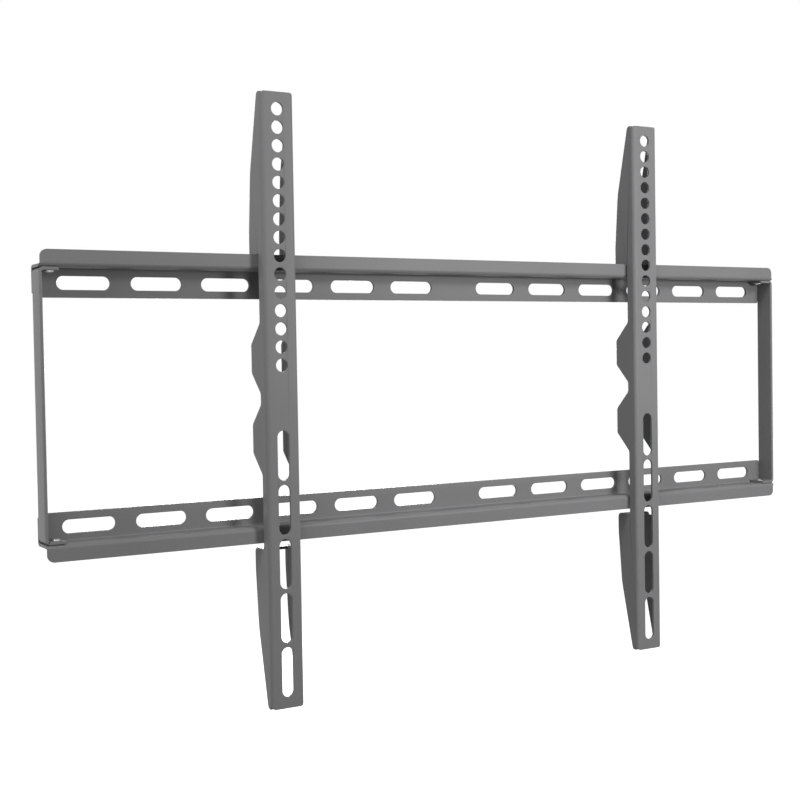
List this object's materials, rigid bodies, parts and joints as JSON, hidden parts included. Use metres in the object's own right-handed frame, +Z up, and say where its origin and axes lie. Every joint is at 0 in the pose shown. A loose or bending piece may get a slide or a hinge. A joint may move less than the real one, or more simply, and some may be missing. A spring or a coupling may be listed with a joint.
{
  "type": "tv wall mount",
  "caption": "Low-profile fixed wall mount: slotted Z-section rails tied by end bars, and channel brackets with holes and slots that hook over the top rail and slide along it.",
  "frame": {"origin": "centre of the outer four wall slots, on the wall plane", "axes": "+X along the rails to the viewer's right, +Y into the wall, +Z up; the screen hangs on the -Y side"},
  "size_m": [0.643, 0.0268, 0.424],
  "materials": {
    "grey_powder_coat": "matte",
    "plain_rivet": "satin"
  },
  "bodies": {
    "wall_frame": {"top_rail": "grey_powder_coat", "bottom_rail": "grey_powder_coat", "left_end_bar": "grey_powder_coat", "right_end_bar": "grey_powder_coat", "rivet_top_left": "plain_rivet", "rivet_top_right": "plain_rivet", "rivet_bottom_left": "plain_rivet", "rivet_bottom_right": "plain_rivet"},
    "left_carrier": {"left_bracket": "grey_powder_coat"},
    "right_carrier": {"right_bracket": "grey_powder_coat"}
  },
  "joints": [
    {"name": "left_bracket_slide", "type": "slide", "parent": "wall_frame", "child": "left_carrier", "axis": [1, 0, 0], "range_m": [-0.1485, 0.144]},
    {"name": "right_bracket_slide", "type": "slide", "parent": "wall_frame", "child": "right_carrier", "axis": [1, 0, 0], "range_m": [-0.1555, 0.137]}
  ]
}
